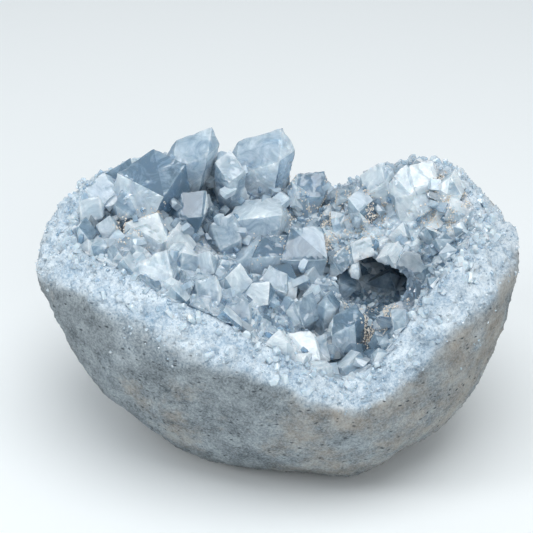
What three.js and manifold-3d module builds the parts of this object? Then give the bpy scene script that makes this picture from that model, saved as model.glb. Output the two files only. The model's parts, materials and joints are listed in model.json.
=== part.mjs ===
// Rough celestite: an egg-shaped nodule ground smooth outside and broken open on top,
// with a crust of blocky blue crystals lining the hollow and running back into a small cave.
// Millimetres, +Z up. The nodule stands on a flat ground under it, and the low side of its rim faces -Y.
import * as THREE from "three";
import { ConvexGeometry } from "three/addons/geometries/ConvexGeometry.js";
import { mergeVertices } from "three/addons/utils/BufferGeometryUtils.js";
import Module from "manifold-3d";

const wasm = await Module();
wasm.setup();

// Driving dimensions
const HALF_WIDTH = 60;
const HALF_DEPTH = 43;
const RIM_HEIGHT = 66;
const FOOT_SHIFT = 4; // the foot sits this far right of the rim's middle
const SHIFT_LEVEL = 45; // height where that shift has died away
const FOOT_SHARE = 0.4; // radius of the flat foot, as a share of the nodule's reach
const LIP_SHARE = 0.84; // where the rim turns over into the hollow, as a share of the reach
const HOLLOW_DEPTH = 30; // the stone's hollow below its rim, at the middle
const BED_DEPTH = 10; // the crystal bed below the rim, at the middle
const GAP = 0.7; // left upright between the crust and the stone it grew on
const CAVE = { middle: [27, 1, 42.5], half: [13, 15, 7] };
const LINING = 2; // the crust under the cave is this thick, and more by the lining's shift down and back
const LINING_SHIFT = [0, 2.5, -3];

// Small maths shared by the pieces
const radians = THREE.MathUtils.degToRad;
const smoothstep = THREE.MathUtils.smoothstep;
const lerp = THREE.MathUtils.lerp;

// A fixed stream of numbers from 0 to 1, so that every build grows the same crystals.
function seeded(seed) {
  let state = seed;
  return () => {
    state = (state + 0x6d2b79f5) | 0;
    let t = Math.imul(state ^ (state >>> 15), 1 | state);
    t = (t + Math.imul(t ^ (t >>> 7), 61 | t)) ^ t;
    return ((t ^ (t >>> 14)) >>> 0) / 2 ** 32;
  };
}

// A smooth closed function of the azimuth, through a few stops of [degrees, value] that start at 0.
function around(stops) {
  const count = stops.length;
  const stop = (i) => {
    const turn = Math.floor(i / count);
    const [at, value] = stops[i - turn * count];
    return { at: at + 360 * turn, value };
  };
  return (degrees) => {
    const at = THREE.MathUtils.euclideanModulo(degrees, 360);
    let i = 0;
    while (stop(i + 1).at <= at) i += 1;
    const [before, from, to, after] = [stop(i - 1), stop(i), stop(i + 1), stop(i + 2)];
    const span = to.at - from.at;
    const t = (at - from.at) / span;
    const slopeFrom = ((to.value - before.value) / (to.at - before.at)) * span;
    const slopeTo = ((after.value - from.value) / (after.at - from.at)) * span;
    const [t2, t3] = [t * t, t * t * t];
    return (2 * t3 - 3 * t2 + 1) * from.value + (t3 - 2 * t2 + t) * slopeFrom
      + (3 * t2 - 2 * t3) * to.value + (t3 - t2) * slopeTo;
  };
}

// Solids in and out of the boolean library
function solidOf(geometry) {
  const bare = geometry.clone();
  bare.deleteAttribute("normal");
  bare.deleteAttribute("uv");
  const merged = mergeVertices(bare, 1e-4);
  const index = merged.index.array;
  const corners = [];
  for (let i = 0; i < index.length; i += 3) {
    const [a, b, c] = [index[i], index[i + 1], index[i + 2]];
    if (a !== b && b !== c && a !== c) corners.push(a, b, c);
  }
  return new wasm.Manifold(new wasm.Mesh({
    numProp: 3,
    vertProperties: new Float32Array(merged.attributes.position.array),
    triVerts: new Uint32Array(corners),
  }));
}

function geometryOf(solid) {
  const mesh = solid.getMesh();
  const geometry = new THREE.BufferGeometry();
  geometry.setAttribute("position", new THREE.BufferAttribute(mesh.vertProperties, 3));
  geometry.setIndex(new THREE.BufferAttribute(mesh.triVerts, 1));
  return geometry;
}

const joined = (solids) => wasm.Manifold.union(solids);
const largest = (solid) => solid.decompose().sort((a, b) => b.volume() - a.volume())[0];

// The nodule's plan and rim
// Reach is the plan radius at the widest level, crest the height of the rim's top and bedDrop how far the crystal bed
// hangs below it. 0 degrees is +X and 90 is the back.
const roundPlan = (degrees) => {
  const [c, s] = [Math.cos(radians(degrees)), Math.sin(radians(degrees))];
  return 1 / Math.hypot(c / HALF_WIDTH, s / HALF_DEPTH);
};
const planSwell = around([
  [0, 1], [40, 1.03], [90, 1], [140, 1.03], [180, 1], [225, 0.98], [270, 1], [320, 1.04],
]);
const reach = (degrees) => roundPlan(degrees) * planSwell(degrees);
const crest = around([
  [0, 62], [32, RIM_HEIGHT], [55, 56], [72, 50], [90, 53], [112, 60], [135, 63], [162, 63], [182, 57], [200, 59],
  [216, 60], [232, 56], [247, 54], [258, 49], [272, 44.5], [284, 39], [291, 36.5], [300, 38.5], [309, 43.5],
  [318, 52], [327, 59], [342, 62],
]);
const bedDrop = around([
  [0, 20], [45, 11], [72, 4], [90, 4], [135, 5], [180, 5], [225, 3], [270, 2], [290, 4], [303, 12], [318, 26],
  [335, 28], [350, 24],
]);

// Near the axis the heights of all azimuths blend to one, so that they meet there.
const MEAN_CREST = 54;
const BLEND_SHARE = 0.7;
const blend = (share, middle, edge) => lerp(middle, edge, smoothstep(share, 0, BLEND_SHARE));
const dish = (share, power) => 1 - (share / LIP_SHARE) ** power;
const crestAt = (share, degrees) => blend(share, MEAN_CREST, crest(degrees));
const hollowAt = (share, degrees) => crestAt(share, degrees) - HOLLOW_DEPTH * dish(share, 2.5);
const bedAt = (share, degrees) =>
  crestAt(share, degrees) - blend(share, BED_DEPTH, bedDrop(degrees)) * dish(share, 2);

// A point at a share of the reach. The lower body leans to the right, toward the foot.
function pointAt(share, degrees, z) {
  const radius = share * reach(degrees);
  const shift = FOOT_SHIFT * Math.max(0, 1 - z / SHIFT_LEVEL);
  return [radius * Math.cos(radians(degrees)) + shift, radius * Math.sin(radians(degrees)), z];
}

// Turns a profile of [share of reach, height function] points about the axis.
const SEGMENTS = 42;
function turned(profile, segments = SEGMENTS) {
  const geometry = new THREE.LatheGeometry(profile.map(([share], i) => new THREE.Vector2(share, i)), segments);
  const position = geometry.attributes.position;
  for (let i = 0; i < position.count; i += 1) {
    const [share, height] = profile[Math.round(position.getY(i))];
    const degrees = THREE.MathUtils.radToDeg(Math.atan2(-position.getZ(i), position.getX(i)));
    position.setXYZ(i, ...pointAt(share, degrees, height(share, degrees)));
  }
  return solidOf(geometry);
}

// The nodule: a flat foot, a swelling side, a rounded rim and the hollow inside it
const SIDE = new THREE.SplineCurve([
  [FOOT_SHARE, 0], [0.58, 0.045], [0.73, 0.16], [0.855, 0.35], [0.94, 0.56], [0.985, 0.74], [1, 0.85], [0.98, 0.92],
  [0.91, 0.965], [LIP_SHARE, 1],
].map(([share, portion]) => new THREE.Vector2(share, portion)));
const DISH_SHARES = [0.82, 0.72, 0.56, 0.36, 0];

function stoneBody(raised) {
  const side = SIDE.getPoints(14).map(({ x, y }) => [x, (share, degrees) => y * crestAt(share, degrees) + raised]);
  const hollow = DISH_SHARES.map((share) => [share, (s, degrees) => hollowAt(s, degrees) + raised]);
  return turned([[0, () => raised], ...side, ...hollow]);
}

// The cave's hollow, and the lining under and behind it swollen by a margin
const caveBall = () => new THREE.IcosahedronGeometry(1, 2);
const caveAir = () => solidOf(caveBall().scale(...CAVE.half).translate(...CAVE.middle));
function caveLining(margin) {
  const half = CAVE.half.map((size) => size + margin);
  const middle = CAVE.middle.map((value, i) => value + LINING_SHIFT[i]);
  return solidOf(caveBall().scale(...half).translate(...middle));
}

// Pits in the skin: azimuth, share of the crest and radius
const PITS = [
  [254, 0.8, 1.6], [258, 0.7, 1.3], [238, 0.72, 1.1], [222, 0.6, 1.2], [285, 0.5, 1.2], [330, 0.7, 1.3],
  [20, 0.6, 1.5], [75, 0.7, 1.3], [118, 0.55, 1.6], [150, 0.75, 1.2],
];
const PIT_SINK = 0.25; // how far a pit's middle lies outside the skin, as a share of its radius
function pit([degrees, portion, radius]) {
  const ray = SIDE.getPoints(200).reduce((best, { x, y }) =>
    Math.abs(y - portion) < Math.abs(best.y - portion) ? { x, y } : best);
  const middle = pointAt(ray.x + (PIT_SINK * radius) / reach(degrees), degrees, portion * crestAt(ray.x, degrees));
  return solidOf(new THREE.IcosahedronGeometry(radius, 0).scale(1, 1, 0.8).translate(...middle));
}

function nodule() {
  return stoneBody(0).subtract(joined([caveLining(LINING + GAP), ...PITS.map(pit)]));
}

// A crystal: a prism ending in a ridge, which slopes down along the crystal's width by its skew. The tip is the ridge's
// high end.
const SIX_SIDED = [[0.5, 0], [0.3, 0.5], [-0.3, 0.5], [-0.5, 0], [-0.3, -0.5], [0.3, -0.5]];
const FOUR_SIDED = [[0.5, 0.42], [-0.4, 0.5], [-0.5, -0.42], [0.4, -0.5]];
const RIDGE = [[0.3, 0.1], [-0.3, 0.1]];
const TAPER = 0.8; // width at the root, as a share of the width at the shoulder
function crystal({ tip, lean: [azimuth, tilt], turn, size: [width, thickness, length], skew, section = SIX_SIDED }) {
  const shoulder = length - 0.55 * thickness;
  const drop = (across) => skew * width * (0.3 - across);
  const points = [
    ...section.map(([a, b]) => new THREE.Vector3(TAPER * a * width, TAPER * b * thickness, 0)),
    ...section.map(([a, b]) => new THREE.Vector3(a * width, b * thickness, shoulder - drop(a))),
    ...RIDGE.map(([a, b]) => new THREE.Vector3(a * width, b * thickness, length - drop(a))),
  ];
  const turnedBy = new THREE.Matrix4().makeRotationZ(radians(azimuth))
    .multiply(new THREE.Matrix4().makeRotationY(radians(tilt)))
    .multiply(new THREE.Matrix4().makeRotationZ(radians(turn - azimuth)));
  const peak = new THREE.Vector3(RIDGE[0][0] * width, RIDGE[0][1] * thickness, length).applyMatrix4(turnedBy);
  const placed = new THREE.Matrix4().makeTranslation(new THREE.Vector3(...tip).sub(peak)).multiply(turnedBy);
  return solidOf(new ConvexGeometry(points.map((point) => point.applyMatrix4(placed))));
}

// Crystals set by hand. Lean is the azimuth and the angle from upright, size the width, thickness and length.
const LARGE = [
  // A tall prism and the big slate blocks in front of it
  { tip: [-16.3, 21.8, 75.5], lean: [5, 12], turn: 2, size: [14, 10, 30], skew: 0.62 },
  { tip: [-22.6, 11.6, 70.1], lean: [20, 26], turn: -28, size: [16, 14, 28], skew: 0.1, section: FOUR_SIDED },
  { tip: [-17.4, 10.6, 63.3], lean: [20, 22], turn: 12, size: [10, 9, 20], skew: 0.4 },
  { tip: [-31.6, 12, 68.8], lean: [170, 12], turn: 30, size: [9, 8, 16], skew: 0.2 },
  // The back group
  { tip: [1.8, 34.1, 69.7], lean: [60, 10], turn: -4, size: [19, 13, 32], skew: 0.42 },
  { tip: [-11.8, 21.9, 69], lean: [200, 8], turn: 40, size: [9, 8, 22], skew: 0.2 },
  { tip: [12.9, 30.8, 58.8], lean: [0, 14], turn: 10, size: [12, 9, 18], skew: 0.25 },
  { tip: [6.4, 32.1, 57.6], lean: [120, 15], turn: 60, size: [8, 7, 14], skew: 0.2 },
  // The right back blade and the pale crystals beside it
  { tip: [26.2, 16.8, 68.6], lean: [185, 26], turn: -10, size: [11, 7, 24], skew: 0.35 },
  { tip: [21.7, 15.6, 61.9], lean: [170, 20], turn: 30, size: [8, 6, 14], skew: 0.2 },
  { tip: [32.5, 16.4, 68], lean: [150, 12], turn: 50, size: [9, 8, 16], skew: 0.25 },
  { tip: [39.3, 16.7, 68.7], lean: [60, 10], turn: 15, size: [10, 8, 14], skew: 0.2 },
  { tip: [44.9, 14.1, 67.7], lean: [30, 14], turn: 70, size: [8, 7, 11], skew: 0.2 },
  { tip: [37.3, 11.9, 64.1], lean: [250, 14], turn: 35, size: [8, 7, 11], skew: 0.2 },
  { tip: [43.2, 7.6, 63.5], lean: [200, 20], turn: 80, size: [7, 6, 10], skew: 0.2 },
  // The middle: a grey slab, dark faces and a clear grey block
  { tip: [-11.2, 8.3, 58.3], lean: [260, 10], turn: 25, size: [10, 9, 17], skew: 0.25 },
  { tip: [1, 17.4, 58.1], lean: [80, 32], turn: -8, size: [17, 10, 22], skew: 0.2, section: FOUR_SIDED },
  { tip: [3.9, 7.3, 52.8], lean: [60, 28], turn: 8, size: [12, 9, 18], skew: 0.3, section: FOUR_SIDED },
  { tip: [-3.6, 5.3, 52.5], lean: [90, 24], turn: -30, size: [10, 8, 15], skew: 0.3 },
  { tip: [11.4, 5.8, 55.7], lean: [0, 6], turn: 6, size: [13, 11, 16], skew: 0.1, section: FOUR_SIDED },
  { tip: [10.4, 0.6, 48.3], lean: [300, 35], turn: 60, size: [8, 7, 11], skew: 0.15 },
  { tip: [3.4, -0.6, 48.9], lean: [90, 26], turn: 10, size: [11, 8, 14], skew: 0.2, section: FOUR_SIDED },
  // White crystals over the mouth of the cave
  { tip: [23.4, 3.6, 54], lean: [260, 20], turn: 15, size: [9, 8, 13], skew: 0.2 },
  { tip: [30.1, 0.1, 54.8], lean: [290, 25], turn: 60, size: [8, 7, 12], skew: 0.25 },
  { tip: [17.1, 2.4, 51.8], lean: [250, 20], turn: 40, size: [8, 7, 12], skew: 0.2 },
  { tip: [35, -6.1, 54.1], lean: [280, 25], turn: 10, size: [7, 6, 10], skew: 0.2 },
  // The valley below the cave
  { tip: [19.1, -16.7, 46.8], lean: [100, 20], turn: -6, size: [10, 7, 18], skew: 0.5 },
  { tip: [8.8, -11.3, 46.7], lean: [300, 10], turn: 35, size: [9, 8, 15], skew: 0.2 },
  { tip: [13.3, -10.2, 46.8], lean: [60, 16], turn: 70, size: [6, 5, 14], skew: 0.2 },
  { tip: [4.9, -13.3, 46.1], lean: [230, 18], turn: 15, size: [8, 7, 13], skew: 0.2 },
  { tip: [8.4, -23, 43.1], lean: [90, 8], turn: 4, size: [15, 10, 14], skew: 0.1, section: FOUR_SIDED },
  { tip: [0.4, -34.9, 50.9], lean: [240, 15], turn: 40, size: [9, 8, 12], skew: 0.2 },
  { tip: [11.7, -22.9, 41.9], lean: [300, 14], turn: 20, size: [8, 8, 13], skew: 0.2 },
  { tip: [12.8, -34.2, 40.2], lean: [290, 40], turn: 10, size: [9, 7, 12], skew: 0.3 },
  { tip: [19.5, -29.8, 41.2], lean: [270, 35], turn: 40, size: [9, 7, 12], skew: 0.3 },
  { tip: [23.4, -33.6, 44.8], lean: [230, 30], turn: 75, size: [7, 6, 10], skew: 0.2 },
  { tip: [16.8, -40.8, 38.5], lean: [280, 45], turn: 15, size: [8, 6, 10], skew: 0.2 },
  { tip: [24.8, -38.4, 42.7], lean: [250, 40], turn: 50, size: [8, 6, 10], skew: 0.2 },
  { tip: [28.4, -33.9, 47.2], lean: [200, 14], turn: 30, size: [9, 8, 12], skew: 0.15 },
  { tip: [32, -33.3, 51], lean: [190, 16], turn: 70, size: [9, 8, 12], skew: 0.15 },
  { tip: [35.1, -32.7, 54.1], lean: [190, 18], turn: 10, size: [8, 7, 11], skew: 0.2 },
  // The pale mass on the left and the small crystals along the back left
  { tip: [-29.2, 1.3, 62], lean: [250, 16], turn: 10, size: [14, 12, 17], skew: 0.15, section: FOUR_SIDED },
  { tip: [-35, -4.6, 61.3], lean: [260, 10], turn: 40, size: [10, 9, 15], skew: 0.2 },
  { tip: [-23.9, 1.8, 59.2], lean: [300, 18], turn: 65, size: [11, 9, 16], skew: 0.2 },
  { tip: [-25.9, -21.5, 64.2], lean: [270, 16], turn: 20, size: [12, 9, 14], skew: 0.2 },
  { tip: [-34.5, -20, 63.3], lean: [60, 8], turn: 70, size: [9, 8, 12], skew: 0.2 },
  { tip: [-36.9, 17, 69.1], lean: [200, 14], turn: 10, size: [16, 11, 17], skew: 0.25 },
  { tip: [-43.3, 13.6, 67.1], lean: [180, 18], turn: 35, size: [11, 8, 13], skew: 0.2 },
  { tip: [-38.4, 7.9, 65.3], lean: [230, 24], turn: 60, size: [8, 7, 13], skew: 0.2 },
  { tip: [-44.3, 6.5, 64], lean: [270, 12], turn: 15, size: [8, 7, 12], skew: 0.2 },
  { tip: [-47, 1.2, 61], lean: [0, 8], turn: 70, size: [7, 6, 11], skew: 0.2 },
  { tip: [-41.1, 1.5, 61.1], lean: [250, 22], turn: 30, size: [7, 7, 12], skew: 0.2 },
  // Crystals along the front
  { tip: [-14.5, -24, 58.9], lean: [270, 12], turn: 15, size: [8, 8, 12], skew: 0.2 },
  { tip: [-8.8, -14.8, 57.1], lean: [280, 16], turn: 50, size: [9, 7, 14], skew: 0.25 },
  { tip: [-1.7, -16.3, 52.7], lean: [300, 24], turn: 8, size: [10, 7, 14], skew: 0.3 },
  { tip: [-17.7, -33.6, 57.9], lean: [60, 8], turn: 40, size: [7, 7, 10], skew: 0.2 },
  { tip: [-11.8, -31.9, 55.7], lean: [80, 8], turn: 75, size: [7, 7, 10], skew: 0.2 },
  { tip: [-7, -27.5, 54.2], lean: [290, 20], turn: 20, size: [8, 7, 12], skew: 0.2 },
  { tip: [-22.5, -27.7, 59.7], lean: [60, 8], turn: 55, size: [7, 6, 11], skew: 0.2 },
  { tip: [-16.1, -12, 58.8], lean: [260, 24], turn: 10, size: [8, 7, 13], skew: 0.2 },
];

// The way the bed faces at a place in plan
function bedNormal(x, y) {
  const height = (px, py) => {
    const degrees = THREE.MathUtils.radToDeg(Math.atan2(py, px));
    return bedAt(Math.hypot(px, py) / reach(degrees), degrees);
  };
  const fall = new THREE.Vector3(height(x - 1, y) - height(x + 1, y), height(x, y - 1) - height(x, y + 1), 2);
  return fall.normalize();
}

// Crystals strewn over the rest of the bed, kept off the large ones and off the mouth of the cave
const STREWN_TRIES = 1000;
function strewn() {
  const random = seeded(11);
  const between = (low, high) => lerp(low, high, random());
  const taken = LARGE.map(({ tip: [x, y], size: [width] }) => ({ x, y, half: 0.42 * width }));
  taken.push({ x: CAVE.middle[0], y: -5, half: 8 });
  const grown = [];
  for (let i = 0; i < STREWN_TRIES; i += 1) {
    const [share, degrees] = [0.8 * Math.sqrt(random()), 360 * random()];
    const small = smoothstep(share, 0.45, 0.75);
    const width = between(5.5, 9) * lerp(1, 0.7, small);
    const lift = between(0.35, 0.85) * width;
    const [x, y, z] = pointAt(share, degrees, bedAt(share, degrees));
    const normal = bedNormal(x, y);
    const upright = THREE.MathUtils.radToDeg(Math.acos(normal.z));
    const downhill = THREE.MathUtils.radToDeg(Math.atan2(normal.y, normal.x));
    const lean = [downhill + between(-30, 30), upright + between(-18, 18)];
    const turn = between(0, 180);
    const half = 0.42 * width;
    if (taken.some((other) => Math.hypot(other.x - x, other.y - y) < other.half + half)) continue;
    taken.push({ x, y, half });
    const tip = new THREE.Vector3(x, y, z).addScaledVector(normal, lift).toArray();
    const size = [width, width * between(0.65, 0.9), lift + 5];
    grown.push({ tip, lean, turn, size, skew: between(0, 0.4), section: FOUR_SIDED });
  }
  return grown;
}

// Crystals inside the cave and hanging from its lip, set after the cave is hollowed out
const IN_CAVE = [
  { tip: [20.5, 6, 41.5], lean: [40, 50], turn: 20, size: [9, 7, 9], skew: 0.2 },
  { tip: [29, 8, 41], lean: [250, 40], turn: 10, size: [12, 7, 9], skew: 0.3 },
  { tip: [34, 3, 41.5], lean: [200, 40], turn: 50, size: [8, 7, 8], skew: 0.2 },
  { tip: [20.5, -2, 44.5], lean: [270, 125], turn: 0, size: [3.4, 3, 9], skew: 0.3 },
  { tip: [34.5, -7, 45.5], lean: [250, 110], turn: 30, size: [3.6, 3, 9], skew: 0.3 },
];

// The crust: the bed, its crystals and the cave, cut clear of the stone under it
const ROOT = 1.5; // the bed starts this far inside the stone, which is then cut away from it
const REACH_OVER_LIP = 0.85; // crystals end here, ground off with the rim
const TRIM_SIDES = 37; // out of step with the stone's own sides, so that no two edges coincide
const TOP = 100; // above every crystal
const SMALLEST_EDGE = 0.1;
function crystalCrust() {
  const sunk = (share, degrees) => hollowAt(share, degrees) - ROOT;
  const bed = turned([
    ...DISH_SHARES.toReversed().map((share) => [share, sunk]),
    ...DISH_SHARES.map((share) => [share, bedAt]),
  ]);
  const grown = joined([bed, caveLining(LINING), ...[...LARGE, ...strewn()].map(crystal)]).subtract(caveAir());
  const stone = stoneBody(GAP).subtract(caveLining(LINING));
  const inside = turned([[0, () => 0], [REACH_OVER_LIP, () => 0], [REACH_OVER_LIP, () => TOP], [0, () => TOP]], TRIM_SIDES);
  const crust = joined([grown, ...IN_CAVE.map(crystal)]).subtract(stone).intersect(inside);
  return largest(crust).simplify(SMALLEST_EDGE);
}

// The specimen
function piece(name, solid, settings) {
  const mesh = new THREE.Mesh(geometryOf(solid), new THREE.MeshStandardMaterial(settings));
  mesh.name = name;
  return mesh;
}

const specimen = new THREE.Group();
specimen.add(
  piece("nodule", nodule(), { color: 0x8f9aa2, roughness: 0.9 }),
  piece("crystal_crust", crystalCrust(), { color: 0xb4c8d6, roughness: 0.2 }),
);
const { min, max } = new THREE.Box3().setFromObject(specimen);
specimen.children.forEach((mesh) => mesh.geometry.translate(-(min.x + max.x) / 2, -(min.y + max.y) / 2, -min.z));
export default specimen;
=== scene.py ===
# Rough celestite: a ground grey nodule broken open over a hollow of pale blue crystals, with a small dark
# cave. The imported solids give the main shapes. This file gives them their stone and crystal surfaces, and
# adds the small crystals, the sugar on the rim and the crumbs that are too fine for the solids.
import json
import math

import bmesh
import bpy
import numpy as np
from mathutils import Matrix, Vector, noise
from mathutils.bvhtree import BVHTree

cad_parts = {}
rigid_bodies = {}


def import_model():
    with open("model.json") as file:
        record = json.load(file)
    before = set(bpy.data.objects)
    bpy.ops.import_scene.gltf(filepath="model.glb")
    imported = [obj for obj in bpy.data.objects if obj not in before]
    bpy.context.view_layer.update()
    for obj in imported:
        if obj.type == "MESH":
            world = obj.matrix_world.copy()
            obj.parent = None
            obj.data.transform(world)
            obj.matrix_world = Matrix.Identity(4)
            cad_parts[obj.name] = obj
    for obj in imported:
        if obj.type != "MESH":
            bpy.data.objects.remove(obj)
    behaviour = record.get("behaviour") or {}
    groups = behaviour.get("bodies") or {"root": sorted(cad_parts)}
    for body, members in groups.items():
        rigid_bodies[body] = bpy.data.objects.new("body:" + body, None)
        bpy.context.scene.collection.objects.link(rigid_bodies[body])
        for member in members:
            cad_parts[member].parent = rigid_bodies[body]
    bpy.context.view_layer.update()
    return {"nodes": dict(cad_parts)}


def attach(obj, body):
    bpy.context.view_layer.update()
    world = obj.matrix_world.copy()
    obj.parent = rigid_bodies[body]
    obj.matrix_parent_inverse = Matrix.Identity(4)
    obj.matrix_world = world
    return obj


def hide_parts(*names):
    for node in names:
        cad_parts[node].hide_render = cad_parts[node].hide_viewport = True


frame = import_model()

# The nodule
# A lump of massive celestite, ground outside to an egg shape, which left a matt grey skin full of small
# pits. Round the hollow, where it was broken open, the fresh stone is pale blue, blocky and sugary.
MM = 0.001
SKIN_STEP = 0.72 * MM  # spacing of the points of its mesh
LUMP_SIZE = 17 * MM
LUMP_HEIGHT = 1.0 * MM
GRAIN_SIZE = 1.7 * MM
GRAIN_HEIGHT = 0.4 * MM
PIT_SPACING = 3.4 * MM
PIT_RADIUS = 1.1 * MM
PIT_DEPTH = 0.7 * MM
PIT_CROWD = 13 * MM  # pits come in crowds of about this size
BLOCK_SIZE = 3.9 * MM  # the fresh stone breaks into blocks
BLOCK_HEIGHT = 2.2 * MM
SMALLER = 0.45  # blocks of this share of the size stand on the larger ones
FRESH_FROM = -0.08  # the skin turns to fresh stone between these upward parts of the surface's normal
FRESH_TO = 0.55
SEAM = 1.5 * MM  # the stone grows up to the crystals where it is nearer to them than this
SEAM_CROWD = 4 * MM  # grains stand thick this near to the crystals
SEAM_REACH = 10 * MM  # and thinly as far as this
MOUTH = (Vector((29, -14, 50)) * MM, Vector((10.5, 11, 11.5)) * MM)  # the mouth's middle and half sizes
MOUTH_WALL = 1.08  # the stone stays this much further out than the crystals round the mouth
CLOUD_SIZE = 6 * MM
GRIT_SIZE = 0.6 * MM
STAIN_SIZE = 17 * MM
SPECK_SPACING = 1.8 * MM
SPECK_FLATTENING = 1.9
SHADE_HEIGHT = 12 * MM  # painted shade darkens the skin from the foot up to here
GRIT_HEIGHT = 0.45 * MM
SKIN_DARK = "#4c575e"
SKIN_PALE = "#abb6bc"
FRESH_BLUE = "#8caac2"
FRESH_WHITE = "#e6f2fa"
STAIN_TAN = "#b9ab98"
PIT_DARK = "#424d55"
# Painted shade on the underside near the foot, where the stone curves in over the floor.
UNDERSIDE_SHADE = "#3c3d3b"


def new_piece(name, mesh):
    """A mesh put in the scene as an object of its own, at the origin."""
    piece = bpy.data.objects.new(name, mesh)
    bpy.context.scene.collection.objects.link(piece)
    return piece


def merged_copy(node):
    """A mesh like a CAD node's, with its loose triangles joined, to work on."""
    work = bmesh.new()
    work.from_mesh(frame["nodes"][node].data)
    bmesh.ops.remove_doubles(work, verts=work.verts, dist=0.001 * MM)
    return work


def finished(work, name):
    """The plain mesh of what was worked on."""
    mesh = bpy.data.meshes.new(name)
    work.to_mesh(mesh)
    work.free()
    return mesh


def settle(piece):
    """Turns what a piece's modifiers make into its plain mesh."""
    graph = bpy.context.evaluated_depsgraph_get()
    made = piece.evaluated_get(graph)
    mesh = bpy.data.meshes.new_from_object(made, preserve_all_data_layers=True, depsgraph=graph)
    piece.modifiers.clear()
    piece.data = mesh


def smooth_step(value, low, high):
    """A share that rises smoothly from nought at the low value to one at the high one."""
    share = min(max((value - low) / (high - low), 0.0), 1.0)
    return share * share * (3 - 2 * share)


def blocks(place, size):
    """How far blocks of one size stand out of a broken surface, as a share of their height."""
    distances, centres = noise.voronoi(place / size, distance_metric="CHEBYCHEV")
    return 0.35 - distances[0] + 0.35 * noise.cell(centres[0] * 5.1)


def rubble(place, size):
    """How far blocks with smaller ones on them stand out, as a share of their height."""
    return blocks(place, size) + 0.4 * blocks(place, SMALLER * size)


def depth_in(place, hollow):
    """How far out a place lies in an egg-shaped hollow, from nought in its middle to one at its wall."""
    middle, half = hollow
    return Vector((place - middle)[i] / half[i] for i in range(3)).length


def opened(place, hollow, wall):
    """A place pushed out to the wall of an egg-shaped hollow, if it lies inside."""
    depth = depth_in(place, hollow)
    return place if depth > wall else hollow[0].lerp(place, wall / max(depth, 0.2))


work = merged_copy("nodule")
bmesh.ops.join_triangles(work, faces=work.faces, angle_face_threshold=0.7, angle_shape_threshold=1.5)
nodule = new_piece("nodule_stone", finished(work, "nodule_stone"))
rounding = nodule.modifiers.new("rounding", "SUBSURF")
rounding.levels = rounding.render_levels = 2
even = nodule.modifiers.new("even", "REMESH")
even.mode = "VOXEL"
even.voxel_size = SKIN_STEP
even.use_smooth_shade = True
soften = nodule.modifiers.new("soften", "SMOOTH")
soften.iterations = 6
settle(nodule)

work = merged_copy("crystal_crust")
crust_surface = BVHTree.FromBMesh(work)
work.free()
places = []
shares = {"rim": [], "pit": [], "seam": []}  # how fresh, pitted and grown with grains each point is
for vertex in nodule.data.vertices:
    place = vertex.co.copy()
    outward = vertex.normal.copy()
    lump = noise.fractal(place / LUMP_SIZE, 1.0, 2.0, 3)
    grain = noise.fractal(place / GRAIN_SIZE, 0.8, 2.0, 2)
    rim = smooth_step(outward.z + 0.4 * lump, FRESH_FROM, FRESH_TO)
    pit_distances, pit_centres = noise.voronoi(place / PIT_SPACING)
    crowd = smooth_step(noise.noise(place / PIT_CROWD), -0.15, 0.35)
    pit_radius = PIT_RADIUS / PIT_SPACING * abs(noise.cell(pit_centres[0] * 7.3)) * crowd
    pit = (1 - rim) * (1 - smooth_step(pit_distances[0], 0.3 * pit_radius, pit_radius + 0.01))
    nearest, _, _, gap = crust_surface.find_nearest(place)
    joined = 1 - smooth_step(gap, SEAM, 2.2 * SEAM)
    if gap < SEAM:
        place = place.lerp(nearest, 0.9)
    rise = LUMP_HEIGHT * lump + GRAIN_HEIGHT * grain - PIT_DEPTH * pit
    rise += BLOCK_HEIGHT * rim * (1 - joined) * rubble(vertex.co, BLOCK_SIZE)
    place = opened(place + outward * rise * (1 - 0.8 * joined), MOUTH, MOUTH_WALL)
    place.z = max(place.z, 0.0)
    places.append(place)
    thick = 1 - smooth_step(gap, SEAM, SEAM_CROWD)
    thin = 1 - smooth_step(gap, 0.2 * SEAM_REACH, SEAM_REACH)
    shares["rim"].append(rim)
    shares["pit"].append(pit)
    shares["seam"].append(rim * (0.75 * thick + 0.25 * thin) * smooth_step(gap, 0.0, 1.0 * MM))
nodule.data.vertices.foreach_set("co", np.array(places, dtype=np.float32).ravel())
nodule.data.update()
for name, values in shares.items():
    attribute = nodule.data.attributes.new(name, "FLOAT", "POINT")
    attribute.data.foreach_set("value", np.array(values, dtype=np.float32))


def linear(code):
    """The linear colour of an sRGB hex code."""
    channels = [int(code[i : i + 2], 16) / 255 for i in (1, 3, 5)]
    return tuple(c / 12.92 if c <= 0.04045 else ((c + 0.055) / 1.055) ** 2.4 for c in channels) + (1.0,)


def add_node(tree, kind, inputs=None, stops=(), **settings):
    """Adds a node with its settings and links, and a colour ramp's stops, each a position and a hex code.

    An input, by name or number, is a value, a socket, or a node whose first output is linked to it.
    """
    node = tree.nodes.new(kind)
    for name, value in settings.items():
        setattr(node, name, value)
    for number, (position, code) in enumerate(stops):
        node.color_ramp.elements[number].position = position
        node.color_ramp.elements[number].color = linear(code)
    for name, value in (inputs or {}).items():
        named = [socket for socket in node.inputs if socket.enabled and socket.name == name]
        socket = named[0] if named else node.inputs[name]
        if isinstance(value, bpy.types.Node):
            value = next(output for output in value.outputs if output.enabled)
        if isinstance(value, bpy.types.NodeSocket):
            tree.links.new(value, socket)
        else:
            socket.default_value = value
    return node


def empty_material(name):
    """A material with no nodes yet."""
    material = bpy.data.materials.new(name)
    material.use_nodes = True
    material.node_tree.nodes.clear()
    return material
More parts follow.
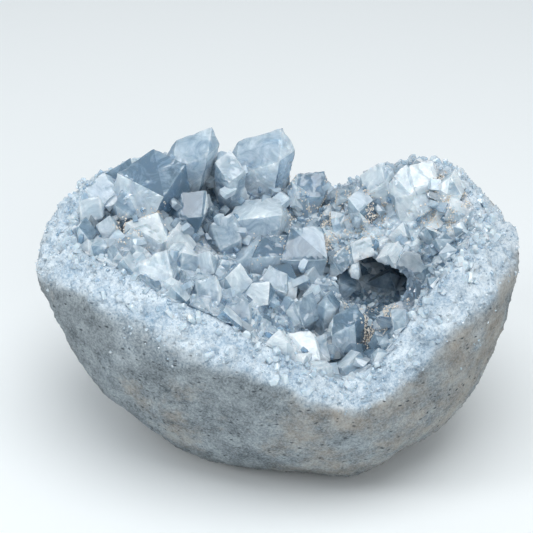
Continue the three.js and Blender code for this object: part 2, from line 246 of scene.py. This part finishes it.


# Ground massive celestite: matt and grey where it is weathered, sugary and pale blue where it is fresh,
# with dark specks, darker pits and rusty tan stains, and painted shade darkening the underside near the
# foot.
stone = empty_material("ground massive celestite")
tree = stone.node_tree
place = add_node(tree, "ShaderNodeTexCoord").outputs["Object"]
rim = add_node(tree, "ShaderNodeAttribute", attribute_name="rim").outputs["Fac"]
pit = add_node(tree, "ShaderNodeAttribute", attribute_name="pit").outputs["Fac"]
cloud = add_node(
    tree, "ShaderNodeTexNoise",
    {"Vector": place, "Scale": 1 / CLOUD_SIZE, "Detail": 6.0, "Roughness": 0.7},
)
grit = add_node(
    tree, "ShaderNodeTexNoise",
    {"Vector": place, "Scale": 1 / GRIT_SIZE, "Detail": 4.0, "Roughness": 0.75},
)
mottle = add_node(tree, "ShaderNodeMix", {"Factor": 0.5, "A": grit, "B": cloud})
weathered = add_node(
    tree, "ShaderNodeValToRGB", {"Fac": mottle}, stops=[(0.38, SKIN_DARK), (0.63, SKIN_PALE)],
)
fresh = add_node(
    tree, "ShaderNodeValToRGB", {"Fac": mottle}, stops=[(0.38, FRESH_BLUE), (0.58, FRESH_WHITE)],
)
body = add_node(tree, "ShaderNodeMix", {"Factor": rim, "A": weathered, "B": fresh}, data_type="RGBA")
on_skin = add_node(tree, "ShaderNodeMapRange", {"Value": rim, "To Min": 1.0, "To Max": 0.15})
stain = add_node(
    tree, "ShaderNodeTexNoise",
    {"Vector": place, "Scale": 1 / STAIN_SIZE, "Detail": 8.0, "Roughness": 0.75},
)
sides = add_node(tree, "ShaderNodeSeparateXYZ", {"Vector": place})
rightward = add_node(
    tree, "ShaderNodeMapRange",
    {"Value": sides.outputs["X"], "From Min": -20 * MM, "From Max": 50 * MM, "To Max": 0.16},
)
stain_height = add_node(tree, "ShaderNodeMath", {0: stain, 1: rightward}, operation="ADD")
stain_most = add_node(tree, "ShaderNodeMath", {0: on_skin, 1: 0.5}, operation="MULTIPLY")
stain_share = add_node(
    tree, "ShaderNodeMapRange",
    {"Value": stain_height, "From Min": 0.53, "From Max": 0.74, "To Max": stain_most},
)
stained = add_node(
    tree, "ShaderNodeMix", {"Factor": stain_share, "A": body, "B": linear(STAIN_TAN)}, data_type="RGBA",
)
flattened = add_node(tree, "ShaderNodeMapping", {"Vector": place, "Scale": (1.0, 1.0, SPECK_FLATTENING)})
specks = add_node(tree, "ShaderNodeTexVoronoi", {"Vector": flattened, "Scale": 1 / SPECK_SPACING})
speck_chance = add_node(tree, "ShaderNodeSeparateColor", {"Color": specks.outputs["Color"]})
speck_size = add_node(
    tree, "ShaderNodeMapRange", {"Value": speck_chance, "From Min": 0.55, "To Max": 0.4},
)
speck = add_node(
    tree, "ShaderNodeMapRange", {"Value": specks, "From Max": speck_size, "To Min": 1.6, "To Max": 0.0},
)
# The pits and specks are darker.
darkening = add_node(tree, "ShaderNodeMath", {0: pit, 1: 0.4, 2: speck}, operation="MULTIPLY_ADD")
darkening_share = add_node(tree, "ShaderNodeMath", {0: darkening, 1: on_skin}, operation="MULTIPLY")
darkened = add_node(
    tree, "ShaderNodeMix", {"Factor": darkening_share, "A": stained, "B": linear(PIT_DARK)}, data_type="RGBA",
)
# Painted shade: the skin darkens towards the foot, where its underside curves in over the floor.
shade_share = add_node(
    tree, "ShaderNodeMapRange",
    {"Value": sides.outputs["Z"], "From Max": SHADE_HEIGHT, "To Min": 0.85, "To Max": 0.0},
)
underside_shaded = add_node(
    tree, "ShaderNodeMix", {"Factor": shade_share, "A": darkened, "B": linear(UNDERSIDE_SHADE)}, data_type="RGBA",
)
rough = add_node(
    tree, "ShaderNodeMapRange",
    {"Value": grit, "From Min": 0.3, "From Max": 0.7, "To Min": 0.95, "To Max": 0.55},
)
sunk = add_node(tree, "ShaderNodeMath", {0: darkening, 1: -0.8, 2: grit}, operation="MULTIPLY_ADD")
relief = add_node(tree, "ShaderNodeBump", {"Strength": 0.9, "Distance": GRIT_HEIGHT, "Height": sunk})
shader = add_node(
    tree, "ShaderNodeBsdfPrincipled", {"Base Color": underside_shaded, "Roughness": rough, "Normal": relief},
)
add_node(tree, "ShaderNodeOutputMaterial", {"Surface": shader})
nodule.data.materials.clear()
nodule.data.materials.append(stone)
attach(nodule, "root")
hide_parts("nodule")

# The crystals
# Blocky celestite crystals that grew from the wall of the hollow and into each other, glassy inside and
# clear to frosted on their flat faces, with chipped edges. Veils inside give each face a tone of its own.
CRYSTAL_STEP = 1.2 * MM  # longest edge of the mesh on the crystals
BED_STEP = 0.85 * MM  # and on the bed between them
SPLITS = 5  # times that the long edges are halved
BED_BLOCK = 4.0 * MM  # the bed is rubble of about this size
BED_HEIGHT = 1.7 * MM
WAVE_SIZE = 7 * MM  # faint waves over everything
WAVE_HEIGHT = 0.16 * MM
GROWTH_SIZE = 3.6 * MM  # growth steps that break up some of the crystals' faces
GROWTH_HEIGHT = 0.75 * MM
GROWTH_PATCH = 13 * MM  # and come in patches of about this size
CHIP_SIZE = 2.3 * MM  # chips along the edges
CHIP_DEPTH = 0.55 * MM
LIP_SIZE = 3 * MM  # ragged lumps round the cave's mouth
FLAT = math.radians(0.4)  # faces that turn less than this from each other are one face
BED_TURN = math.radians(24)  # the bed's faces turn less than this from one to the next
BED_FACES = 6  # and as many of them lie together; a crystal has fewer and sharper ones
SHARP = math.radians(25)  # faces that turn more than this from each other meet in an edge that chips
SHELTER_REACH = 12 * MM  # what stands within this of a point shelters it
SHELTER_WAYS = 24
CAVE = (Vector((27, 1, 42.5)) * MM, Vector((14, 16, 8)) * MM)  # middle and half sizes
MILKY_MEAN = 0.54
MILKY_SPREAD = 0.25
MILKY_PLACES = [  # place in mm, how far it spreads, and how much milkier it is, or clearer below nought
    ((-26, 10, 66), 13, -0.45),  # the large slate-blue face
    ((0, 0, 54), 10, -0.5),  # the dark crystals in the middle
    ((9, 0, 57), 9, -0.15),  # and the one beside them
    ((25, -21, 39), 13, -0.75),  # below the mouth of the cave, down to the notch
    ((28, -4, 40), 13, -0.8),  # the slate-grey crystals in the cave
    ((-30, -6, 58), 12, 0.4),  # the frosted mass at the left
    ((27, 2, 55), 12, 0.5),  # the roof of the cave
    ((6, -32, 44), 13, 0.45),  # the white ledge in front
    ((40, 14, 62), 18, 0.45),  # the pale crystals at the right
]
CRUMB_PATCH = 3 * MM  # crumbs lie in patches of about this size
CRUMB_PLACES = [  # place in mm and how far it spreads
    ((11, 20, 59), 14),
    ((-3, 2, 57), 10),
    ((22, 16, 58), 13),
    ((25, -8, 38), 10),  # the floor of the cave
    ((26, -17, 38), 10),  # and below its mouth
    ((43, 10, 61), 13),
    ((-34, -2, 62), 10),
    ((16, 6, 56), 12),
]
VEIL_SIZE = 5 * MM
FLECK_SIZE = 0.7 * MM
FLECK_HEIGHT = 0.25 * MM
CLEAR_BLUE = "#aad0ed"
MILKY_WHITE = "#e8f4fc"
FLECK_WHITE = "#ecf6fc"
# Painted shade for sheltered crevices and for the cave.
CREVICE_SHADE = "#59656c"
DEEP_BLUE = "#a9c8de"
CELESTITE_IOR = 1.62
ABSORPTION = 25.0  # per metre
chances = np.random.default_rng(5)


def nearness(place, middle, spread, core):
    """One in the core round a middle in mm, which is a share of its spread, and nought past the spread."""
    return 1 - smooth_step((place - Vector(middle) * MM).length, core * spread * MM, spread * MM)


def milkiness(place):
    """How milky a face is, by chance and by where it is."""
    shifts = [shift * nearness(place, middle, spread, 0.4) for middle, spread, shift in MILKY_PLACES]
    return min(max(MILKY_MEAN + MILKY_SPREAD * chances.normal() + sum(shifts), 0.0), 1.0)


def in_bed(face):
    """Whether enough faces lie together round a face, turning little from one to the next."""
    patch = {face}
    fresh = [face]
    while fresh and len(patch) < BED_FACES:
        gentle = [edge for edge in fresh.pop().edges if edge.calc_face_angle(math.pi) < BED_TURN]
        beside = [other for edge in gentle for other in edge.link_faces if other not in patch]
        fresh += beside
        patch.update(beside)
    return len(patch) >= BED_FACES


work = merged_copy("crystal_crust")
bmesh.ops.dissolve_limit(work, angle_limit=FLAT, verts=work.verts, edges=work.edges)
tone_of = work.faces.layers.float.new("tone")
bed_of = work.faces.layers.float.new("bed")
for face in work.faces:
    face[tone_of] = milkiness(face.calc_center_median())
    face[bed_of] = in_bed(face)
bmesh.ops.triangulate(work, faces=work.faces)
bmesh.ops.dissolve_degenerate(work, edges=work.edges, dist=0.02 * MM)
for _ in range(SPLITS):
    long_edges = []
    for edge in work.edges:
        longest = BED_STEP if any(face[bed_of] for face in edge.link_faces) else CRYSTAL_STEP
        if edge.calc_length() > longest:
            long_edges.append(edge)
    bmesh.ops.subdivide_edges(work, edges=long_edges, cuts=1)
    bmesh.ops.triangulate(work, faces=[face for face in work.faces if len(face.verts) > 3])
work.normal_update()

# How sheltered each point is: the share of the ways out of it that soon meet another crystal.
surface = BVHTree.FromBMesh(work)
golden_angle = math.pi * (3 - math.sqrt(5))
sky = []
for number, height in enumerate(np.linspace(-0.95, 0.95, SHELTER_WAYS)):
    radius = math.sqrt(1 - height * height)
    turn = number * golden_angle
    sky.append(Vector((math.cos(turn) * radius, math.sin(turn) * radius, height)))
edge_of = work.verts.layers.float.new("edge")
shelter_of = work.verts.layers.float.new("shelter")
for vertex in work.verts:
    ways = [way for way in sky if way.dot(vertex.normal) > 0.2]
    start = vertex.co + 0.05 * MM * vertex.normal
    blocked = sum(surface.ray_cast(start, way, SHELTER_REACH)[0] is not None for way in ways)
    vertex[shelter_of] = blocked / max(len(ways), 1)
    vertex[edge_of] = any(edge.calc_face_angle_signed(0.0) > SHARP for edge in vertex.link_edges)

# The bed is rubble, and the crystals have growth steps, faint waves and chipped edges.
for vertex in work.verts:
    bed = np.mean([face[bed_of] for face in vertex.link_faces])
    chip = vertex[edge_of] * (1 - bed) * max(0.0, 0.2 + noise.noise(vertex.co / CHIP_SIZE))
    stepped = (1 - bed) * smooth_step(noise.noise(vertex.co / GROWTH_PATCH), 0.0, 0.25)
    rise = BED_HEIGHT * bed * rubble(vertex.co, BED_BLOCK)
    rise += WAVE_HEIGHT * noise.noise(vertex.co / WAVE_SIZE)
    rise += GROWTH_HEIGHT * stepped * blocks(vertex.co, GROWTH_SIZE)
    rise -= CHIP_DEPTH * chip
    vertex.co += vertex.normal * rise
    vertex.co = opened(vertex.co, MOUTH, 1 + 0.06 * noise.noise(vertex.co / LIP_SIZE))

# Small crystals lodge in corners outside the cave, and crumbs lodge in patches near their places.
corner_of = work.verts.layers.float.new("corner")
crumb_of = work.verts.layers.float.new("crumb")
for vertex in work.verts:
    bed = np.mean([face[bed_of] for face in vertex.link_faces])
    in_cave = min(depth_in(vertex.co, CAVE), depth_in(vertex.co, MOUTH)) < 1.15
    vertex[corner_of] = 0.0 if in_cave else smooth_step(vertex[shelter_of], 0.25, 0.6)
    near = max(nearness(vertex.co, middle, spread, 0.3) for middle, spread in CRUMB_PLACES)
    patchy = smooth_step(noise.fractal(vertex.co / CRUMB_PATCH, 0.8, 2.0, 3), -0.1, 0.3)
    vertex[crumb_of] = near * patchy * max(smooth_step(vertex[shelter_of], 0.2, 0.55), 0.7 * bed)
crystals = new_piece("crystals", finished(work, "crystals"))


def celestite(name, frost, glow):
    """Celestite crystal: glassy pale blue with milky veils and white flecks, with painted shade in its
    crevices.

    Frost is how milky its clearest parts are, and glow is how far light spreads inside it.
    """
    material = empty_material(name)
    tree = material.node_tree
    place = add_node(tree, "ShaderNodeTexCoord").outputs["Object"]
    tone = add_node(tree, "ShaderNodeAttribute", attribute_name="tone").outputs["Fac"]
    edge = add_node(tree, "ShaderNodeAttribute", attribute_name="edge").outputs["Fac"]
    shelter = add_node(tree, "ShaderNodeAttribute", attribute_name="shelter").outputs["Fac"]
    veil = add_node(
        tree, "ShaderNodeTexNoise",
        {"Vector": place, "Scale": 1 / VEIL_SIZE, "Detail": 6.0, "Roughness": 0.68, "Distortion": 1.2},
    )
    flecks = add_node(
        tree, "ShaderNodeTexNoise",
        {"Vector": place, "Scale": 1 / FLECK_SIZE, "Detail": 4.0, "Roughness": 0.65},
    )
    veiled = add_node(tree, "ShaderNodeMath", {0: veil, 1: 1.5, 2: tone}, operation="MULTIPLY_ADD")
    edged = add_node(tree, "ShaderNodeMath", {0: edge, 1: 0.1, 2: veiled}, operation="MULTIPLY_ADD")
    milky = add_node(
        tree, "ShaderNodeMapRange", {"Value": edged, "From Min": 0.75, "From Max": 1.8, "To Min": frost},
    )
    colour = add_node(
        tree, "ShaderNodeValToRGB", {"Fac": milky}, stops=[(0.0, CLEAR_BLUE), (1.0, MILKY_WHITE)],
    )
    fleck_share = add_node(
        tree, "ShaderNodeMapRange", {"Value": flecks, "From Min": 0.6, "From Max": 0.72, "To Max": 0.55},
    )
    flecked = add_node(
        tree, "ShaderNodeMix", {"Factor": fleck_share, "A": colour, "B": linear(FLECK_WHITE)},
        data_type="RGBA",
    )
    # Painted shade: the colour darkens where other crystals shelter a point, in crevices and in the cave.
    darkening = add_node(
        tree, "ShaderNodeMapRange", {"Value": shelter, "From Min": 0.5, "From Max": 0.95, "To Max": 0.75},
    )
    darkened = add_node(
        tree, "ShaderNodeMix", {"Factor": darkening, "A": flecked, "B": linear(CREVICE_SHADE)},
        data_type="RGBA",
    )
    clear = add_node(tree, "ShaderNodeMapRange", {"Value": milky, "To Min": 0.75, "To Max": 0.12})
    fleck_frost = add_node(
        tree, "ShaderNodeMapRange",
        {"Value": flecks, "From Min": 0.5, "From Max": 0.72, "To Min": 0.03, "To Max": 0.14},
    )
    rough = add_node(
        tree, "ShaderNodeMath", {0: milky, 1: 0.18, 2: fleck_frost}, operation="MULTIPLY_ADD",
    )
    relief = add_node(
        tree, "ShaderNodeBump", {"Strength": 0.06, "Distance": FLECK_HEIGHT, "Height": flecks},
    )
    shader = add_node(tree, "ShaderNodeBsdfPrincipled", {
        "Base Color": darkened, "Roughness": rough, "IOR": CELESTITE_IOR, "Normal": relief,
        "Transmission Weight": clear, "Subsurface Weight": 0.4, "Subsurface Radius": (0.7, 0.9, 1.0),
        "Subsurface Scale": glow,
    })
    absorption = add_node(
        tree, "ShaderNodeVolumeAbsorption", {"Color": linear(DEEP_BLUE), "Density": ABSORPTION},
    )
    add_node(tree, "ShaderNodeOutputMaterial", {"Surface": shader, "Volume": absorption})
    return material


crystals.data.materials.append(celestite("clear celestite", 0.0, 4 * MM))
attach(crystals, "root")
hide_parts("crystal_crust")

# The druse
# Small crystals that cover the bed between the large ones and crowd into their corners, of the same
# celestite but milkier. Each grew on the bed as a blocky prism with a roof-shaped end.
PRISMS = [  # width, thickness and height of a crystal of unit size, and how far its end leans
    (1.0, 0.8, 0.7, 0.1),
    (0.8, 0.9, 0.9, -0.1),
    (1.2, 0.7, 0.6, 0.0),
    (0.8, 0.7, 1.0, 0.1),
]
PALEST = 0.8  # each small crystal has a tone by chance, up to this
TAPER = 0.92


def small_crystal(name, width, thickness, height, lean):
    """A blocky prism with a roof-shaped end, its foot sunk below the surface."""
    corners = [(-0.5, -0.4), (0.5, -0.4), (0.5, 0.4), (-0.5, 0.4)]
    foot = [(width * x, thickness * y, -0.4) for x, y in corners]
    shoulder = [(x * TAPER + lean, y * TAPER, height - 0.3 * thickness) for x, y, _ in foot]
    ridge = [(lean - 0.25 * width, 0.05, height), (lean + 0.2 * width, -0.05, height - 0.06)]
    work = bmesh.new()
    for point in foot + shoulder + ridge:
        work.verts.new(point)
    bmesh.ops.convex_hull(work, input=work.verts)
    return bpy.data.objects.new(name, finished(work, name))


small_shapes = bpy.data.collections.new("small crystal shapes")
for number, sizes in enumerate(PRISMS):
    small_shapes.objects.link(small_crystal(f"small crystal {number}", *sizes))


def scatter_tree():
    """Scatters shapes over a mesh, as thickly as one of its attributes says, each with its own tone."""
    tree = bpy.data.node_groups.new("scatter", "GeometryNodeTree")
    tree.interface.new_socket("Geometry", in_out="OUTPUT", socket_type="NodeSocketGeometry")
    for kind, label in (
        ("Geometry", "Geometry"), ("Collection", "Shapes"), ("String", "Where"), ("Float", "Density"),
        ("Float", "Smallest"), ("Float", "Largest"), ("Float", "Lean"), ("Int", "Seed"),
        ("Material", "Material"),
    ):
        tree.interface.new_socket(label, in_out="INPUT", socket_type=f"NodeSocket{kind}")
    given = add_node(tree, "NodeGroupInput").outputs
    where = add_node(tree, "GeometryNodeInputNamedAttribute", {"Name": given["Where"]}, data_type="FLOAT")
    density = add_node(tree, "ShaderNodeMath", {0: where, 1: given["Density"]}, operation="MULTIPLY")
    points = add_node(
        tree, "GeometryNodeDistributePointsOnFaces",
        {"Mesh": given["Geometry"], "Density": density, "Seed": given["Seed"]},
    )
    back = add_node(tree, "ShaderNodeMath", {0: given["Lean"], 1: -1.0}, operation="MULTIPLY")
    least = add_node(tree, "ShaderNodeCombineXYZ", {"X": back, "Y": back})
    most = add_node(
        tree, "ShaderNodeCombineXYZ", {"X": given["Lean"], "Y": given["Lean"], "Z": 2 * math.pi},
    )
    lean = add_node(
        tree, "FunctionNodeRandomValue", {"Min": least, "Max": most, "Seed": given["Seed"]},
        data_type="FLOAT_VECTOR",
    )
    turned = add_node(
        tree, "FunctionNodeRotateRotation", {"Rotation": points.outputs["Rotation"], "Rotate By": lean},
        rotation_space="LOCAL",
    )
    size = add_node(
        tree, "FunctionNodeRandomValue",
        {"Min": given["Smallest"], "Max": given["Largest"], "Seed": given["Seed"]}, data_type="FLOAT",
    )
    shapes = add_node(
        tree, "GeometryNodeCollectionInfo", {"Collection": given["Shapes"], "Separate Children": True},
    )
    scattered = add_node(tree, "GeometryNodeInstanceOnPoints", {
        "Points": points, "Instance": shapes, "Pick Instance": True, "Rotation": turned, "Scale": size,
    })
    tone = add_node(
        tree, "FunctionNodeRandomValue", {"Min": 0.0, "Max": PALEST, "Seed": given["Seed"]},
        data_type="FLOAT",
    )
    toned = add_node(
        tree, "GeometryNodeStoreNamedAttribute", {"Geometry": scattered, "Name": "tone", "Value": tone},
        data_type="FLOAT", domain="INSTANCE",
    )
    real = add_node(tree, "GeometryNodeRealizeInstances", {"Geometry": toned})
    coloured = add_node(
        tree, "GeometryNodeSetMaterial", {"Geometry": real, "Material": given["Material"]},
    )
    add_node(tree, "NodeGroupOutput", {"Geometry": coloured})
    return tree


scatter = scatter_tree()


def scattered_piece(name, carrier, values):
    """A piece made of shapes scattered over a carrier's mesh, with values for the tree's named inputs."""
    piece = new_piece(name, carrier.data)
    modifier = piece.modifiers.new(name, "NODES")
    modifier.node_group = scatter
    for item in scatter.interface.items_tree:
        if item.in_out == "INPUT" and item.name in values:
            modifier[item.identifier] = values[item.name]
    settle(piece)
    return piece


milky = celestite("milky celestite", 0.05, 0.8 * MM)
bed_crystals = scattered_piece("bed_crystals", crystals, {
    "Shapes": small_shapes, "Where": "corner", "Density": 0.04 / MM**2, "Smallest": 1.2 * MM,
    "Largest": 3.6 * MM, "Lean": 0.5, "Seed": 3, "Material": milky,
})
small_crystals = scattered_piece("small_crystals", crystals, {
    "Shapes": small_shapes, "Where": "bed", "Density": 0.12 / MM**2, "Smallest": 0.6 * MM,
    "Largest": 1.5 * MM, "Lean": 0.7, "Seed": 4, "Material": milky,
})
for piece in (bed_crystals, small_crystals):
    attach(piece, "root")

# The sugar
# Grains of fresh, frosted celestite. Fine ones lie all over the broken rim, and larger ones grew along
# the seam where the crystals leave the stone.
sugary = celestite("sugary celestite", 0.4, 0.5 * MM)
rim_sugar = scattered_piece("rim_sugar", nodule, {
    "Shapes": small_shapes, "Where": "rim", "Density": 0.25 / MM**2, "Smallest": 0.25 * MM,
    "Largest": 0.7 * MM, "Lean": 0.9, "Seed": 5, "Material": sugary,
})
seam_crystals = scattered_piece("seam_crystals", nodule, {
    "Shapes": small_shapes, "Where": "seam", "Density": 0.3 / MM**2, "Smallest": 0.6 * MM,
    "Largest": 2.2 * MM, "Lean": 0.7, "Seed": 6, "Material": sugary,
})
for piece in (rim_sugar, seam_crystals):
    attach(piece, "root")

# The crumbs
# Dry beige crumbs of clay and calcite that lodged between the crystals and on the floor of the cave. Each
# is a rough grain with a few flat sides.
CRUMB_SHAPES = 4
CRUMB_CORNERS = 11
RUSTY_BEIGE = "#b9a58e"
CREAM = "#e6e2da"
crumb_shapes = bpy.data.collections.new("crumb shapes")
for number in range(CRUMB_SHAPES):
    work = bmesh.new()
    for corner in chances.normal(size=(CRUMB_CORNERS, 3)):
        work.verts.new(0.5 * Vector(corner).normalized())
    bmesh.ops.convex_hull(work, input=work.verts)
    crumb_shapes.objects.link(bpy.data.objects.new(f"crumb {number}", finished(work, "crumb")))

# Clay and calcite crumbs: chalky and dull, from rusty beige to cream.
chalky = empty_material("chalky crumbs")
tree = chalky.node_tree
tone = add_node(tree, "ShaderNodeAttribute", attribute_name="tone").outputs["Fac"]
colour = add_node(tree, "ShaderNodeValToRGB", {"Fac": tone}, stops=[(0.0, RUSTY_BEIGE), (0.7, CREAM)])
shader = add_node(tree, "ShaderNodeBsdfPrincipled", {"Base Color": colour, "Roughness": 0.9})
add_node(tree, "ShaderNodeOutputMaterial", {"Surface": shader})
crumbs = scattered_piece("crumbs", crystals, {
    "Shapes": crumb_shapes, "Where": "crumb", "Density": 8.0 / MM**2, "Smallest": 0.25 * MM,
    "Largest": 0.7 * MM, "Lean": 3.0, "Seed": 7, "Material": chalky,
})
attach(crumbs, "root")

# The loose shapes aren't needed once everything is scattered.
for shape in [*small_shapes.objects, *crumb_shapes.objects]:
    bpy.data.objects.remove(shape)

# The stage
# A plain pale floor, a soft room with light from above, from the left and from the front, and a camera
# that looks down on the stone at the photograph's angle.
FLOOR_HALF = 3.0  # metres
ROOM_STRENGTH = 0.5
AIM = Vector((-2.5, 0, 47.3)) * MM
ELEVATION = math.radians(30)
DISTANCE = 400 * MM
SENSOR = 36.0
FOCAL_PIXELS = 1600  # focal length in the photograph's pixels
FRAME_PIXELS = 533

floor_corners = [(x * FLOOR_HALF, y * FLOOR_HALF, 0) for x, y in ((-1, -1), (1, -1), (1, 1), (-1, 1))]
floor_mesh = bpy.data.meshes.new("floor")
floor_mesh.from_pydata(floor_corners, [], [(0, 1, 2, 3)])
floor = new_piece("floor", floor_mesh)

# Pale paper: matt and nearly white, so that it takes a soft shadow.
paper = empty_material("pale paper")
tree = paper.node_tree
shader = add_node(tree, "ShaderNodeBsdfPrincipled", {"Base Color": linear("#eef3f5"), "Roughness": 0.9})
add_node(tree, "ShaderNodeOutputMaterial", {"Surface": shader})
floor_mesh.materials.append(paper)

room = bpy.data.worlds.new("soft room")
bpy.context.scene.world = room
room.use_nodes = True
room.node_tree.nodes.clear()
daylight = add_node(
    room.node_tree, "ShaderNodeBackground", {"Color": linear("#f3f7fa"), "Strength": ROOM_STRENGTH},
)
add_node(room.node_tree, "ShaderNodeOutputWorld", {"Surface": daylight})


def softbox(name, place, aim, size, watts):
    """A round soft light, in metres, turned to its aim."""
    light = bpy.data.lights.new(name, "AREA")
    light.shape = "DISK"
    light.size = size
    light.energy = watts
    lamp = bpy.data.objects.new(name, light)
    bpy.context.scene.collection.objects.link(lamp)
    lamp.location = place
    lamp.rotation_euler = (Vector(aim) - Vector(place)).to_track_quat("-Z", "Y").to_euler()


softbox("overhead softbox", (0.04, -0.2, 0.8), (0, 0, 0.03), 0.6, 3.9)
softbox("window at the left", (-0.7, -0.25, 0.45), (0, 0, 0.05), 0.22, 1.3)
softbox("window in front", (0.25, -0.8, 0.5), (0, 0, 0.03), 0.45, 1.6)

camera_data = bpy.data.cameras.new("camera")
camera_data.sensor_width = SENSOR
camera_data.lens = SENSOR * FOCAL_PIXELS / FRAME_PIXELS
camera_data.clip_start = 0.01
camera = bpy.data.objects.new("camera", camera_data)
bpy.context.scene.collection.objects.link(camera)
camera.location = AIM + DISTANCE * Vector((0, -math.cos(ELEVATION), math.sin(ELEVATION)))
camera.rotation_euler = (AIM - camera.location).to_track_quat("-Z", "Y").to_euler()
bpy.context.scene.camera = camera
bpy.context.scene.view_settings.view_transform = "Standard"
